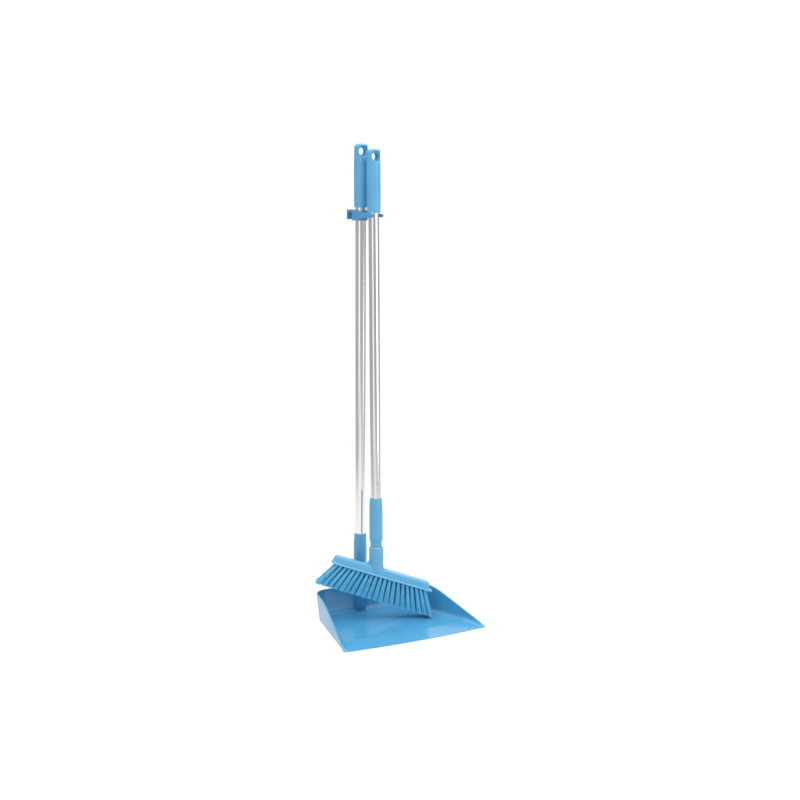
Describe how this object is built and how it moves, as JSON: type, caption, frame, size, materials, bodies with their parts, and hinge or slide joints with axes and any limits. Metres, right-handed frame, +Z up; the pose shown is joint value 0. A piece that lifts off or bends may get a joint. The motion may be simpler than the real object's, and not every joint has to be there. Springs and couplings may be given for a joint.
{
  "type": "dust pan and brush set",
  "caption": "Upright dust pan on a tall tube handle, with a tilted long-handled broom held in a clip on the pan's handle and its bristles over the pan floor.",
  "frame": {"origin": "middle of the pan's flat underside, halfway between the front corners and the rear wall", "axes": "+Z up along the pan's handle; +Y from the pan's mouth to its rear wall; +X along the pan's width"},
  "size_m": [0.3304, 0.2616, 0.9727],
  "materials": {
    "pan_plastic": "semi-gloss moulded polypropylene",
    "grip_plastic": "satin moulded polypropylene",
    "clip_plastic": "satin moulded plastic",
    "block_plastic": "satin moulded polypropylene",
    "bristle": "stiff polyester filament",
    "tube_aluminium": "satin anodised"
  },
  "bodies": {
    "dustpan": {"pan": "pan_plastic", "pan_ferrule": "grip_plastic", "pan_tube": "tube_aluminium", "pan_grip": "grip_plastic", "handle_clip": "clip_plastic"},
    "broom_head": {"broom_block": "block_plastic", "tuft_column_01": "bristle", "tuft_column_02": "bristle", "tuft_column_03": "bristle", "tuft_column_04": "bristle", "tuft_column_05": "bristle", "tuft_column_06": "bristle", "tuft_column_07": "bristle", "tuft_column_08": "bristle", "tuft_column_09": "bristle", "tuft_column_10": "bristle", "tuft_column_11": "bristle", "tuft_column_12": "bristle", "tuft_column_13": "bristle", "tuft_column_14": "bristle", "tuft_column_15": "bristle", "tuft_column_16": "bristle", "tuft_column_17": "bristle", "tuft_column_18": "bristle", "tuft_column_19": "bristle", "tuft_column_20": "bristle", "tuft_column_21": "bristle"},
    "broom_handle": {"broom_ferrule": "grip_plastic", "broom_tube": "tube_aluminium", "broom_grip": "grip_plastic"}
  },
  "joints": [
    {"name": "broom_release", "type": "slide", "parent": "dustpan", "child": "broom_head", "axis": [0.309, -0.9511, 0], "range_m": [0, 0.15]},
    {"name": "broom_handle_screw", "type": "hinge", "parent": "broom_head", "child": "broom_handle", "pos_m": [0.00313, 0.05146, 0.16549], "axis": [0.0116, 0.0403, 0.9991], "continuous": true}
  ]
}
